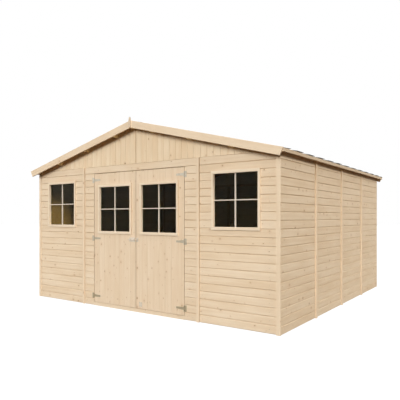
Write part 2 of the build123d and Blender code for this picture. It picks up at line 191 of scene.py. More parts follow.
class Graph:
    """The nodes of one material or of the world."""

    def __init__(self, owner):
        owner.use_nodes = True
        self.tree = owner.node_tree
        self.tree.nodes.clear()

    def node(self, kind, settings, sockets, out=0):
        """Add a node, its settings first, then the values or links of its sockets, and give an output."""
        made = self.tree.nodes.new(kind)
        for key, setting in settings.items():
            setattr(made, key, setting)
        for key, given in sockets.items():
            if isinstance(given, Value):
                self.tree.links.new(given.socket, made.inputs[key])
            else:
                made.inputs[key].default_value = given
        return Value(self, made.outputs[out]) if made.outputs else None

    def other(self, value, out):
        """Another output of the node that gave this value."""
        return Value(self, value.socket.node.outputs[out])

    def grain(self):
        """The place along, the place across and the own number that a board carries."""
        return self.node("ShaderNodeAttribute", {"attribute_name": "grain"}, {}, "Vector")

    def place(self):
        """The place in the piece's own coordinates."""
        return self.node("ShaderNodeTexCoord", {}, {}, "Object")

    def vector(self, x, y, z):
        """A vector from its three parts."""
        return self.node("ShaderNodeCombineXYZ", {}, {0: x, 1: y, 2: z})

    def parts(self, vector):
        """The three parts of a vector or a colour."""
        first = self.node("ShaderNodeSeparateXYZ", {}, {0: vector})
        return first, self.other(first, 1), self.other(first, 2)

    def noise(self, vector, detail, roughness=0.5):
        """Smooth noise about 0.5, with finer layers for its detail."""
        sockets = {"Vector": vector, "Scale": 1.0, "Detail": detail, "Roughness": roughness}
        return self.node("ShaderNodeTexNoise", {}, sockets)

    def clouds(self, place, scale, detail):
        """Noise of one size all over."""
        scaled = self.node("ShaderNodeVectorMath", {"operation": "SCALE"}, {0: place, "Scale": scale})
        return self.noise(scaled, detail)

    def streaks(self, board, rates, detail, roughness):
        """Noise that changes at rates of its own along a board, across it and from board to board."""
        scaled = (part * rate for part, rate in zip(board, rates))
        return self.noise(self.vector(*scaled), detail, roughness)

    def luck(self, number):
        """A number between 0 and 1 that differs for each number given."""
        return self.node("ShaderNodeTexWhiteNoise", {"noise_dimensions": "1D"}, {"W": number})

    def blend(self, factor, first, second, how="MIX"):
        """A colour that goes from the first to the second, or to the first times the second."""
        settings = {"data_type": "RGBA", "blend_type": how}
        return self.node("ShaderNodeMix", settings, {0: factor, 6: first, 7: second}, 2)

    def ramp(self, value, low, high):
        """0 at low, 1 at high, eased between them and held outside."""
        sockets = {"Value": value, "From Min": low, "From Max": high}
        return self.node("ShaderNodeMapRange", {"interpolation_type": "SMOOTHSTEP"}, sockets)

    def bump(self, height, distance):
        """The normal of a surface with this relief, as deep as the distance."""
        return self.node("ShaderNodeBump", {}, {"Height": height, "Strength": 1.0, "Distance": distance})

    def close(self, shader, kind="ShaderNodeOutputMaterial"):
        """Give the shader to the material or the world."""
        self.node(kind, {}, {"Surface": shader})


def screen(red, green, blue):
    """A colour given as 0 to 255 screen values, in linear light."""
    share = np.array([red, green, blue]) / 255
    linear = np.where(share <= 0.04045, share / 12.92, ((share + 0.055) / 1.055) ** 2.4)
    return (*linear.tolist(), 1.0)


# Finishes

# Knots: places for one to a metre across a board, the share of that along it, the radii, where the edges of
# a knot and of the wood round it lie, how strong the faintest knot is and how much stronger the darkest
KNOT_BROWN = screen(146, 108, 72)
KNOT_PITCH = 10.5
KNOT_STRETCH_SHARE = 0.75
KNOT_SMALL = 0.0035
KNOT_SPREAD = 0.0080
KNOT_EDGE_SHARES = (0.55, 1.1)
HALO_EDGE_SHARES = (0.8, 3.4)
KNOT_FAINT = 0.30
KNOT_STRONG = 0.45

# Patterns in the wood: how fast each changes along a board, across it and from board to board, then its
# detail and its roughness
DRIFT = ((0.9, 8.0, 53.0), 3.0, 0.5)
STREAK = ((1.3, 38.0, 71.0), 4.0, 0.6)
CLOUD = ((2.6, 9.0, 37.0), 2.0, 0.5)
FIBRE = ((22.0, 900.0, 19.0), 2.0, 0.5)

# The wood's tones: how streaks, clouds and a board's own luck make it deeper, and what late wood, fibres
# and the wood round a knot are multiplied by, and how much
STREAK_SHARE = 0.6
CLOUD_SHARE = 0.4
BOARD_SPREAD = 0.13
WARMTH_EDGES = (0.30, 0.72)
LATE_TONE = screen(222, 192, 152)
FIBRE_TONE = screen(196, 166, 132)
FIBRE_DEPTH = 0.12
HALO_TONE = screen(222, 184, 140)
HALO_DEPTH = 0.16

# Late-wood rings to a metre, how many of them they drift, and swing round a knot, and how thin they are
RING_PITCH = 150.0
RING_DRIFT = 7.0
RING_SWING = 1.6
RING_SHARPNESS = 3.0

# The wood's surface, and how a piece that isn't a board is read
WOOD_RELIEF = 0.00035
LATE_RELIEF_SHARE = 0.5
FIBRE_RELIEF_SHARE = 0.5
KNOT_RELIEF_SHARE = 0.6
LATE_ROUGHNESS = -0.08
FIBRE_ROUGHNESS = 0.10
WOOD_SHINE = 0.07
UPRIGHT_DEPTH_SHARE = 0.7
UPRIGHT_SPAN = (-1.0, 1.0)

# Felt: grains to a metre, their tones, its weathering, the tones of its tabs, and its surface
FELT_GRAINS = 420.0
FELT_TONES = (screen(84, 79, 75), screen(140, 132, 124))
FELT_WORN = ((2.2, 5.0, 31.0), 4.0, 0.6)
FELT_WORN_EDGES = (0.35, 0.75)
FELT_WORN_DEPTH = 0.5
FELT_WORN_TONE = screen(142, 135, 127)
FELT_TAB_STEP = 90.0
FELT_TAB_DEPTH = 0.45
FELT_TAB_TONE = screen(150, 145, 140)
FELT_RELIEF = 0.0009
FELT_ROUGHNESS = 0.84
FELT_GRAIN_ROUGHNESS = 0.12
FELT_SHINE = 0.25

# Zinc: flakes to a metre, dull patches to a metre and their detail, the heights between which it turns
# brighter, and its surface
ZINC_FLAKES = 130.0
ZINC_PATCHES = (24.0, 3.0)
ZINC_PATCH_EDGES = (0.45, 0.75)
ZINC_PATCH_DEPTH = 0.4
ZINC_HEIGHTS = (0.1, 1.8)
ZINC_FOOT_DEPTH = 0.85
ZINC_METAL = 0.12
ZINC_RELIEF = 0.00008
ZINC_ROUGHNESS = 0.40
ZINC_FLAKE_ROUGHNESS = 0.12
ZINC_PATCH_ROUGHNESS = 0.16

# Glass: ripples and haze to a metre and their detail, its tints and surface, the heights between which it
# mirrors more, and how much
GLASS_RIPPLES = (5.0, 1.0)
GLASS_HAZE = (17.0, 3.0)
GLASS_TINTS = (screen(184, 187, 168), screen(170, 175, 158))
GLASS_INDEX = 1.12
GLASS_RELIEF = 0.0006
GLASS_ROUGHNESS = 0.01
GLASS_HAZE_ROUGHNESS = 0.02
SHEEN_HEIGHTS = (1.15, 1.60)
SHEEN = 0.06


def spruce(name, pale, deep, knots, rings, rough, on_board=True):
    """Planed spruce: broad streaks from pale to deep along the board, fine late-wood rings that swing
    round the knots, and a tone for each board. knots is the share of places that hold a knot, and rings
    how deep the late wood shows. A piece that isn't a board reads Object coordinates, its grain upright."""
    material = bpy.data.materials.new(name)
    graph = Graph(material)
    if on_board:
        along, across, own = graph.parts(graph.grain())
    else:
        side, depth, along = graph.parts(graph.place())
        across = side + depth * UPRIGHT_DEPTH_SHARE
        own = graph.ramp(depth, *UPRIGHT_SPAN)
    board = (along, across, own)

    knot_place = graph.vector(along * (KNOT_PITCH * KNOT_STRETCH_SHARE), across * KNOT_PITCH, 0.0)
    away = graph.node("ShaderNodeTexVoronoi", {"voronoi_dimensions": "2D"},
                      {"Vector": knot_place, "Scale": 1.0}, "Distance")
    hit, size, tint = graph.parts(graph.other(away, "Color"))
    reach = away / KNOT_PITCH
    radius = size * size * KNOT_SPREAD + KNOT_SMALL
    has_knot = hit > 1.0 - knots
    knot = has_knot * (1.0 - graph.ramp(reach, *(radius * share for share in KNOT_EDGE_SHARES)))
    halo = has_knot * (1.0 - graph.ramp(reach, *(radius * share for share in HALO_EDGE_SHARES)))

    drift = graph.streaks(board, *DRIFT)
    late = (across * RING_PITCH + drift * RING_DRIFT + halo * RING_SWING).wave() ** RING_SHARPNESS
    streak = graph.streaks(board, *STREAK)
    cloud = graph.streaks(board, *CLOUD)
    fibre = graph.streaks(board, *FIBRE)

    board_tone = (graph.luck(own) - 0.5) * BOARD_SPREAD
    warmth = graph.ramp(streak * STREAK_SHARE + cloud * CLOUD_SHARE + board_tone, *WARMTH_EDGES)
    colour = graph.blend(warmth, screen(*pale), screen(*deep))
    colour = graph.blend(late * rings, colour, LATE_TONE, "MULTIPLY")
    colour = graph.blend(fibre * FIBRE_DEPTH, colour, FIBRE_TONE, "MULTIPLY")
    colour = graph.blend(halo * HALO_DEPTH, colour, HALO_TONE, "MULTIPLY")
    colour = graph.blend(knot * (tint * tint * KNOT_STRONG + KNOT_FAINT), colour, KNOT_BROWN)

    relief = late * LATE_RELIEF_SHARE + fibre * FIBRE_RELIEF_SHARE + knot * KNOT_RELIEF_SHARE
    shader = graph.node("ShaderNodeBsdfPrincipled", {}, {
        "Base Color": colour,
        "Roughness": late * LATE_ROUGHNESS + fibre * FIBRE_ROUGHNESS + rough,
        "Specular IOR Level": WOOD_SHINE,
        "Normal": graph.bump(relief, WOOD_RELIEF),
    })
    graph.close(shader)
    return material


def felt_shingle(name):
    """Mineral felt: dark grey with lighter and darker grains, a tone for each tab and pale weathering."""
    material = bpy.data.materials.new(name)
    graph = Graph(material)
    along, across, own = graph.parts(graph.grain())
    grains = graph.node("ShaderNodeTexVoronoi", {"voronoi_dimensions": "2D"},
                        {"Vector": graph.vector(along, across, 0.0), "Scale": FELT_GRAINS}, "Color")
    grain, coarse = graph.parts(grains)[:2]
    worn = graph.streaks((along, across, own), *FELT_WORN)
    tab = graph.luck((along / SHINGLE_TAB).floor() + own * FELT_TAB_STEP)
    colour = graph.blend(grain, *FELT_TONES)
    colour = graph.blend(graph.ramp(worn, *FELT_WORN_EDGES) * FELT_WORN_DEPTH, colour, FELT_WORN_TONE)
    colour = graph.blend(tab * FELT_TAB_DEPTH, colour, FELT_TAB_TONE, "MULTIPLY")
    shader = graph.node("ShaderNodeBsdfPrincipled", {}, {
        "Base Color": colour,
        "Roughness": coarse * FELT_GRAIN_ROUGHNESS + FELT_ROUGHNESS,
        "Specular IOR Level": FELT_SHINE,
        "Normal": graph.bump(grain + worn, FELT_RELIEF),
    })
    graph.close(shader)
    return material


def zinc_steel(name, dark, light, worn):
    """Galvanised sheet: grey flakes a few millimetres across, duller in patches, and blended towards the
    third colour lower down.
    """
    material = bpy.data.materials.new(name)
    graph = Graph(material)
    place = graph.place()
    flakes = graph.node("ShaderNodeTexVoronoi", {}, {"Vector": place, "Scale": ZINC_FLAKES}, "Color")
    flake, tilt = graph.parts(flakes)[:2]
    dull = graph.clouds(place, *ZINC_PATCHES)
    height = graph.parts(place)[2]
    # Lower down the colour is blended towards the third colour, darker towards the bottom
    foot = ZINC_FOOT_DEPTH - graph.ramp(height, *ZINC_HEIGHTS) * ZINC_FOOT_DEPTH
    colour = graph.blend(flake, screen(*dark), screen(*light))
    colour = graph.blend(graph.ramp(dull, *ZINC_PATCH_EDGES) * ZINC_PATCH_DEPTH, colour, screen(*worn))
    colour = graph.blend(foot, colour, screen(*worn))
    shader = graph.node("ShaderNodeBsdfPrincipled", {}, {
        "Base Color": colour,
        "Metallic": ZINC_METAL,
        "Roughness": tilt * ZINC_FLAKE_ROUGHNESS + dull * ZINC_PATCH_ROUGHNESS + ZINC_ROUGHNESS,
        "Normal": graph.bump(flake, ZINC_RELIEF),
    })
    graph.close(shader)
    return material


def window_glass(name):
    """Clear glass with a faint green tint, slightly uneven, that mirrors a little more towards its top."""
    material = bpy.data.materials.new(name)
    graph = Graph(material)
    place = graph.place()
    ripple = graph.clouds(place, *GLASS_RIPPLES)
    haze = graph.clouds(place, *GLASS_HAZE)
    height = graph.parts(place)[2]
    first, last = SHEEN_HEIGHTS
    sheen = graph.node("ShaderNodeMapRange", {"clamp": True}, {
        "Value": height,
        "From Min": first,
        "From Max": last,
        "To Min": 0.0,
        "To Max": SHEEN,
    })
    shader = graph.node("ShaderNodeBsdfPrincipled", {}, {
        "Base Color": graph.blend(haze, *GLASS_TINTS),
        "Roughness": haze * GLASS_HAZE_ROUGHNESS + GLASS_ROUGHNESS,
        "IOR": GLASS_INDEX,
        "Transmission Weight": 1.0,
        "Coat Weight": sheen,
        "Normal": graph.bump(ripple, GLASS_RELIEF),
    })
    graph.close(shader)
    return material


CLADDING = spruce("cladding_spruce", (239, 221, 195), (229, 206, 175), knots=0.30, rings=0.28, rough=0.66)
GABLE = spruce("gable_spruce", (244, 226, 197), (234, 209, 174), knots=0.20, rings=0.30, rough=0.66)
DOOR = spruce("door_spruce", (237, 218, 192), (229, 206, 176), knots=0.50, rings=0.30, rough=0.64)
TRIM = spruce("trim_spruce", (237, 218, 191), (229, 206, 176), knots=0.07, rings=0.24, rough=0.62)
COVER = spruce("cover_spruce", (243, 224, 197), (235, 212, 182), knots=0.07, rings=0.24, rough=0.62)
EAVES = spruce("eaves_spruce", (224, 206, 180), (214, 192, 163), knots=0.14, rings=0.24, rough=0.66)
WINDOW = spruce("window_spruce", (240, 224, 200), (233, 213, 186), knots=0.05, rings=0.20, rough=0.58)
BARS = spruce("bar_spruce", (228, 218, 203), (218, 206, 189), knots=0.02, rings=0.16, rough=0.56)
SAWN = spruce("sawn_spruce", (226, 200, 164), (208, 176, 136), knots=0.30, rings=0.40, rough=0.80)
# The purlins are paler and warmer than the sawn spruce: painted light, for their ends that catch light
# under the shaded roof overhang
PURLIN_PAINTED_LIGHT = spruce("purlin_spruce_painted_light", (255, 238, 196), (250, 224, 174), knots=0.10, rings=0.30, rough=0.80)
# The deck boards are spruce darkened to a deep warm brown: painted shade, for the dark hollow under the
# eaves and the gable overhang
DECKING_PAINTED_SHADE = spruce("decking_spruce_painted_shade", (172, 108, 34), (138, 82, 20), knots=0.34, rings=0.44, rough=0.80)
UPRIGHT = spruce("apex_spruce", (228, 212, 190), (212, 194, 170), knots=0.05, rings=0.30, rough=0.66,
                 on_board=False)
FELT = felt_shingle("felt_shingles")
ZINC = zinc_steel("zinc_steel", (194, 184, 166), (208, 198, 182), (150, 134, 102))
PLATE = zinc_steel("plate_steel", (212, 199, 182), (220, 207, 190), (214, 200, 182))
GLASS = window_glass("window_glass")


# Boards

# How far apart the grain of two boards can lie, along and across
GRAIN_SHIFTS = (37.0, 23.0)


def mesh_piece(name, points, faces, material, body, grain=None, smooth=False):
    """A mesh object at the origin, with its place in its points, riding on a body."""
    mesh = bpy.data.meshes.new(name)
    mesh.from_pydata(points.reshape(-1, 3).tolist(), [], faces)
    if grain is not None:
        marks = mesh.attributes.new("grain", "FLOAT_VECTOR", "POINT")
        marks.data.foreach_set("vector", grain.astype(np.float32).ravel())
    mesh.polygons.foreach_set("use_smooth", np.full(len(mesh.polygons), smooth))
    mesh.materials.append(material)
    mesh.update()
    piece = bpy.data.objects.new(name, mesh)
    bpy.context.scene.collection.objects.link(piece)
    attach(piece, body)
    return piece


def round_heads(name, places, facing, radius, rise, body):
    """Low round heads of nails or screws, all looking one way. A head is a few rings of points, narrower
    and higher towards the middle, with a point on top."""
    places = np.array(places).reshape(-1, 1, 3)
    beside = np.cross(Z_AXIS, facing)
    turn = np.arange(HEAD_SIDES) * 2 * pi / HEAD_SIDES
    share, level = np.array(HEAD_RING_SHARES).T
    side = np.append((share[:, None] * np.cos(turn)).ravel(), 0.0)[:, None] * radius
    up = np.append((share[:, None] * np.sin(turn)).ravel(), 0.0)[:, None] * radius
    out = np.append(np.repeat(level, HEAD_SIDES), 1.0)[:, None] * rise
    points = places + side * beside + up * Z_AXIS + out * facing
    ring = np.arange(HEAD_SIDES)
    after = (ring + 1) % HEAD_SIDES
    rows = np.arange(len(share) - 1)[:, None] * HEAD_SIDES
    sides = np.stack([rows + ring, rows + after, rows + after + HEAD_SIDES, rows + ring + HEAD_SIDES],
                     axis=-1)
    last = (len(share) - 1) * HEAD_SIDES
    tops = np.stack([last + ring, last + after, np.full(HEAD_SIDES, last + HEAD_SIDES)], axis=-1)
    step = np.arange(len(places))[:, None, None] * points.shape[1]
    faces = (sides.reshape(-1, 4) + step).reshape(-1, 4).tolist()
    faces += (tops + step).reshape(-1, 3).tolist()
    faces += (ring[::-1] + step).reshape(-1, HEAD_SIDES).tolist()
    mesh_piece(name, points, faces, ZINC, body, smooth=True)


class Boards:
    """Boards that become one mesh. A board runs along, lies across and shows its face."""

    def __init__(self):
        self.frames = []
        self.sizes = []
        self.nails = []

    def add(self, origin, along, across, face, length, width, thickness, ease, lean=(0.0, 0.0), own=None):
        """One board. length and width are its first and last places along and across, from the origin,
        which lies on its face. ease is how far its two outer edges are rounded, and lean how far each end
        moves along the board for each unit across. own is the board's number, for its grain."""
        mark = draw.random() if own is None else own
        self.frames.append((origin, along, across, face))
        self.sizes.append((*length, *lean, *width, thickness, *ease, mark))

    def block(self, box, ease):
        """A squared timber that fills a box: it runs along the longest side, and its face is on the side
        of its thinnest measure that looks away from the middle of the shed."""
        low, high = np.array(box[0]), np.array(box[1])
        size = high - low
        centre = (low + high) / 2
        run = int(np.argmax(size))
        depth = int(np.argmin(size))
        wide = 3 - run - depth
        axes = np.eye(3)
        face = axes[depth] * (1.0 if centre[depth] >= 0 else -1.0)
        origin = centre + face * size[depth] / 2
        half_run, half_wide = size[run] / 2, size[wide] / 2
        self.add(origin, axes[run], axes[wide], face, (-half_run, half_run), (-half_wide, half_wide),
                 size[depth], (ease, ease))

    def tongue(self, origin, along, across, face, length, place, thickness, own, lean=(0.0, 0.0)):
        """A thin strip inside two boards, which closes the joint between them."""
        first, last = (share * thickness for share in TONGUE_SHARES)
        self.add(origin - first * face, along, across, face, length,
                 (place - TONGUE_WIDTH / 2, place + TONGUE_WIDTH / 2), last - first,
                 (SQUARE_EASE, SQUARE_EASE), lean, own)

    def panel(self, origin, along, across, face, length, width, count, thickness, ease, hole=None,
              gap=BOARD_GAP, nails=()):
        """Boards side by side over a panel, from its corner. A hole is its first and last places along
        and then across: boards that meet it stop at its edges, and what is left beside it is a strip.
        Each board is nailed at the given places along it."""
        cover = width / count
        for number in range(count):
            low = number * cover + gap / 2
            high = (number + 1) * cover - gap / 2
            own, proud = draw.random(2)
            if hole is None or high <= hole[2] or low >= hole[3]:
                spans = [(0.0, length, low, high, ease, ease)]
            else:
                spans = [(0.0, hole[0], low, high, ease, ease), (hole[1], length, low, high, ease, ease)]
                if low < hole[2]:
                    spans.append((hole[0], hole[1], low, hole[2], ease, SQUARE_EASE))
                if high > hole[3]:
                    spans.append((hole[0], hole[1], hole[3], high, SQUARE_EASE, ease))
            sunk = proud * BOARD_PROUD
            for start, end, first, last, first_ease, last_ease in spans:
                middle = origin - sunk * face + (first + last) / 2 * across
                self.add(origin - sunk * face, along, across, face, (start, end), (first, last),
                         thickness - sunk, (first_ease, last_ease), own=own)
                self.nails += [middle + nail * along for nail in nails if start < nail < end]
            if number + 1 < count:
                joint = (number + 1) * cover
                runs = [(0.0, length)]
                if hole is not None and hole[2] < joint < hole[3]:
                    runs = [(0.0, hole[0]), (hole[1], length)]
                for run in runs:
                    self.tongue(origin, along, across, face, run, joint, thickness, own)

    def build(self, name, material, body, slot, *nodes):
        """One mesh of all the boards. A board's section goes round its width and thickness, with each
        outer edge eased by three points, and is carried from one end of the board to the other."""
        frames = np.array(self.frames, dtype=float).transpose(1, 0, 2)
        origin, along, across, face = frames[:, :, None, None, :]
        sizes = np.moveaxis(np.array(self.sizes)[:, None, None, :], -1, 0)
        start, end, start_lean, end_lean, low, high, thick, low_ease, high_ease, own = sizes
        low_bow, high_bow = EASE_BOW_SHARE * low_ease, EASE_BOW_SHARE * high_ease
        wide = np.concatenate([low, low, low + low_bow, low + low_ease, high - high_ease, high - high_bow,
                               high, high], axis=2)
        deep = np.concatenate([-thick, -low_ease, -low_bow, 0 * thick, 0 * thick, -high_bow, -high_ease,
                               -thick], axis=2)
        run = np.concatenate([start + start_lean * wide, end + end_lean * wide], axis=1)
        wide, deep, own = (np.broadcast_to(part, run.shape) for part in (wide, deep, own))
        points = origin + run[..., None] * along + wide[..., None] * across + deep[..., None] * face
        grain = np.stack([run + own * GRAIN_SHIFTS[0], wide - deep + own * GRAIN_SHIFTS[1], own], axis=-1)

        count, corners = len(self.sizes), run.shape[2]
        turn = np.arange(corners)
        after = (turn + 1) % corners
        sides = np.stack([turn, turn + corners, after + corners, after], axis=1)
        ends = np.stack([turn, turn[::-1] + corners])
        handed = np.einsum("nijk,nijk->n", np.cross(along, across), face) > 0
        step = np.arange(count)[:, None, None] * 2 * corners
        sides = np.where(handed[:, None, None], sides, sides[:, ::-1]) + step
        ends = np.where(handed[:, None, None], ends, ends[:, ::-1]) + step
        faces = sides.reshape(-1, 4).tolist() + ends.reshape(-1, corners).tolist()
        piece = mesh_piece(name, points, faces, material, body, grain)
        if nodes:
            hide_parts(*nodes)
        if self.nails:
            round_heads(name + "_nails", self.nails, self.frames[0][3], NAIL_RADIUS, NAIL_RISE, body)


def solid_boxes(name):
    """The box of each solid in a CAD node: its loose triangles are joined at shared corners, the lowest
    corner number is passed on until it stops changing, and each number left is one solid."""
    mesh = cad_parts[name].data
    points = np.empty(len(mesh.vertices) * 3)
    mesh.vertices.foreach_get("co", points)
    points = points.reshape(-1, 3)
    corners = np.empty(len(mesh.loops), dtype=np.int64)
    mesh.loops.foreach_get("vertex_index", corners)
    same = np.unique(np.round(points, WELD_DIGITS), axis=0, return_inverse=True)[1].reshape(-1)
    triangles = same[corners].reshape(-1, 3)
    label = np.arange(same.max() + 1)
    settled = False
    while not settled:
        spread = label.copy()
        np.minimum.at(spread, triangles, label[triangles].min(axis=1, keepdims=True))
        settled = bool((spread == label).all())
        label = spread
    owner = label[same]
    solids = [points[owner == number] for number in np.unique(owner)]
    return [(solid.min(axis=0), solid.max(axis=0)) for solid in solids]


def blocks(node, material, slot, ease, body="shed", boxes=None):
    """Squared timbers in place of each solid of a node, or in boxes worked out from those."""
    boards = Boards()
    for box in boxes or solid_boxes(node):
        boards.block(box, ease)
    boards.build(node + "_timber", material, body, slot, node)


# Walls

def window_hole(frame_box):
    """The first and last X and the first and last Z of the hole behind a window's casing."""
    low, high = frame_box
    side = CASING_SIDE_WIDTH - HOLE_MARGIN
    end = CASING_WIDTH - HOLE_MARGIN
    return low[0] + side, high[0] - side, low[2] + end, high[2] - end


def front_batten_boxes():
    """The front battens, with the right edge planed back."""
    return [(low, high - BATTEN_PLANED * X_AXIS) for low, high in solid_boxes("front_battens")]


def corner_trim_boxes():
    """The corner trims. The left one on the front lies flatter than the rest."""
    return [(low + CORNER_PLANED * Y_AXIS if max(high[0], high[1]) < 0 else low, high)
            for low, high in solid_boxes("corner_trims")]


def side_cladding(name, node, run):
    """Horizontal boards on each panel of a side or back wall."""
    boards = Boards()
    for low, high in solid_boxes(node):
        depth = 1 - run
        outward = 1.0 if low[depth] > 0 else -1.0
        axes = np.eye(3)
        origin = np.array(low)
        origin[depth] = high[depth] if outward > 0 else low[depth]
        courses = round((high[2] - low[2]) / COURSE)
        length = high[run] - low[run]
        boards.panel(origin, axes[run], Z_AXIS, outward * axes[depth], length, high[2] - low[2], courses,
                     high[depth] - low[depth], COURSE_EASE, nails=(NAIL_INSET, length - NAIL_INSET))
    boards.build(name, CLADDING, "shed", "wall_boards", node)


def front_cladding(name, node, hole=None):
    """Horizontal boards on the front, cut round the window where there is one. A panel that starts under
    an upright batten starts past its far edge instead, so that a thin seam shows beside the batten."""
    boards = Boards()
    for low, high in solid_boxes(node):
        for batten_low, batten_high in front_batten_boxes():
            if batten_low[0] < low[0] < batten_high[0]:
                low[0] = batten_high[0] + PANEL_SEAM
        origin = np.array([low[0], low[1], low[2]])
        cut = None
        if hole is not None:
            cut = (hole[0] - low[0], hole[1] - low[0], hole[2] - low[2], hole[3] - low[2])
        courses = max(1, round((high[2] - low[2]) / COURSE))
        length = high[0] - low[0]
        boards.panel(origin, X_AXIS, Z_AXIS, -Y_AXIS, length, high[2] - low[2], courses, high[1] - low[1],
                     COURSE_EASE, cut, nails=(NAIL_INSET, length - 2 * NAIL_INSET))
    boards.build(name, CLADDING, "shed", "wall_boards", node)


def gable_boards(name, node, outward):
    """Upright boards under the roof. Each top leans with the roof, and the boards meet at the middle, where
    a strip closes the joint from behind, up to the ridge purlin."""
    low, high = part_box(node)
    under_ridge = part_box("roof_deck_left")[1][2] - DECK / cos(PITCH) - low[2]
    face_y = high[1] if outward > 0 else low[1]
    origin = np.array([0.0, face_y, low[2]])
    boards = Boards()
    courses = round(high[0] / COURSE)
    cover = high[0] / courses
    for side in SIDES:
        for number in range(courses):
            first = number * cover + (GABLE_GAP / 2 if number else GABLE_JOINT)
            last = (number + 1) * cover - GABLE_GAP / 2
            own = draw.random()
            boards.add(origin, Z_AXIS, side * X_AXIS, outward * Y_AXIS, (0.0, under_ridge), (first, last),
                       high[1] - low[1], (GABLE_EASE, GABLE_EASE), (0.0, -tan(PITCH)), own)
            if number + 1 < courses:
                boards.tongue(origin, Z_AXIS, side * X_AXIS, outward * Y_AXIS, (0.0, under_ridge),
                              (number + 1) * cover, high[1] - low[1], own, (0.0, -tan(PITCH)))
    purlin_foot = max(box[0][2] for box in solid_boxes("purlins")) - low[2]
    boards.add(origin - outward * (high[1] - low[1]) * Y_AXIS, Z_AXIS, X_AXIS, outward * Y_AXIS,
               (0.0, purlin_foot), (-BACKING_WIDTH / 2, BACKING_WIDTH / 2), BACKING_DEPTH,
               (SQUARE_EASE, SQUARE_EASE))
    boards.build(name, GABLE, "shed", "wall_boards", node)


wall_frames = sorted(solid_boxes("window_frames"), key=lambda box: box[0][0])
left_hole, right_hole = (window_hole(box) for box in wall_frames)
side_cladding("left_wall_boards", "left_wall", 1)
side_cladding("right_wall_boards", "right_wall", 1)
side_cladding("back_wall_boards", "back_wall", 0)
front_cladding("front_left_boards", "front_wall_left", left_hole)
front_cladding("front_right_boards", "front_wall_right", right_hole)
front_cladding("door_side_boards", "door_sides")
front_cladding("door_header_board", "door_header")
gable_boards("front_gable_boards", "front_gable", -1)
gable_boards("back_gable_boards", "back_gable", 1)
blocks("front_battens", TRIM, "trim_wood", TRIM_EASE, boxes=front_batten_boxes())
blocks("back_battens", TRIM, "trim_wood", TRIM_EASE)
blocks("side_battens", COVER, "trim_wood", TRIM_EASE)
blocks("corner_trims", TRIM, "trim_wood", TRIM_EASE, boxes=corner_trim_boxes())
blocks("eaves_boards", EAVES, "trim_wood", TRIM_EASE)
for timber_node in ("wall_studs", "bottom_rails", "top_rails", "floor_bearers"):
    blocks(timber_node, SAWN, "frame_wood", SAWN_EASE)
# Purlins in the paler spruce that carries their painted light
blocks("purlins", PURLIN_PAINTED_LIGHT, "frame_wood", SAWN_EASE)
blocks("door_sill", CLADDING, "frame_wood", TRIM_EASE)


# Roof and floor

def bargeboards(name, node, outward):
    """Boards up the gable ends: cut upright at the apex joint, and leaning in at the lower end."""
    low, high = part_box(node)
    boards = Boards()
    for side in SIDES:
        along = np.array([side * cos(PITCH), 0.0, -sin(PITCH)])
        across = np.array([side * sin(PITCH), 0.0, cos(PITCH)])
        apex = np.array([0.0, high[1] if outward > 0 else low[1], high[2] + BARGE_JOINT * tan(PITCH)])
        far = high[0] / cos(PITCH)
        far_low = (high[0] - BARGE_LEAN + BARGE_WIDTH * sin(PITCH)) / cos(PITCH)
        end_lean = (far - far_low) / BARGE_WIDTH
        boards.add(apex, along, across, outward * Y_AXIS, (BARGE_JOINT / cos(PITCH), far),
                   (-BARGE_WIDTH, 0.0), high[1] - low[1], (TRIM_EASE, TRIM_EASE), (-tan(PITCH), end_lean))
    boards.build(name, TRIM, "shed", "trim_wood", node)


def roof_deck(name, node, side):
    """Deck boards side by side along the shed, each running from the ridge down to the eaves."""
    low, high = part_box(node)
    along = np.array([side * cos(PITCH), 0.0, -sin(PITCH)])
    face = np.array([side * sin(PITCH), 0.0, cos(PITCH)])
    ridge = np.array([0.0, low[1], high[2]]) + DECK * tan(PITCH) * along
    reach = max(abs(low[0]), abs(high[0])) / cos(PITCH) - DECK * tan(PITCH)
    boards = Boards()
    boards.panel(ridge, along, Y_AXIS, face, reach, high[1] - low[1], ROOF_BOARDS, DECK, SAWN_EASE)
    # The deck boards carry the painted shade of their darkened spruce
    boards.build(name, DECKING_PAINTED_SHADE, "shed", "deck_boards", node)


class Sheets:
    """Closed bent sheets that become one mesh: a section of a few corners, carried through stations."""

    def __init__(self):
        self.points = []
        self.grain = []
        self.faces = []
        self.count = 0

    def add(self, rings, grain):
        """One sheet. rings holds the corners of its section at each station, and its two ends are flat.
        Its faces are turned outwards by the sign of its volume."""
        stations, corners = rings.shape[:2]
        ring = np.arange(corners)
        after = (ring + 1) % corners
        step = np.arange(stations - 1)[:, None] * corners
        sides = np.stack([step + ring, step + after, step + after + corners, step + ring + corners],
                         axis=-1)
        ends = np.stack([ring[::-1], ring + (stations - 1) * corners])
        flat = (rings - rings.mean(axis=(0, 1))).reshape(-1, 3)
        first, second, third, fourth = flat[sides.reshape(-1, 4)].transpose(1, 0, 2)
        volume = np.sum(np.cross(first - third, second - fourth) * (first + second + third + fourth))
        way = 1 if volume > 0 else -1
        self.faces += (sides.reshape(-1, 4)[:, ::way] + self.count).tolist()
        self.faces += (ends[:, ::way] + self.count).tolist()
        self.points.append(rings.reshape(-1, 3))
        self.grain.append(grain.reshape(-1, 3))
        self.count += stations * corners

    def build(self, name, material, body, slot, *nodes):
        """One mesh of all the sheets, in place of the nodes."""
        piece = mesh_piece(name, np.concatenate(self.points), self.faces, material, body,
                           np.concatenate(self.grain))
        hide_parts(*nodes)


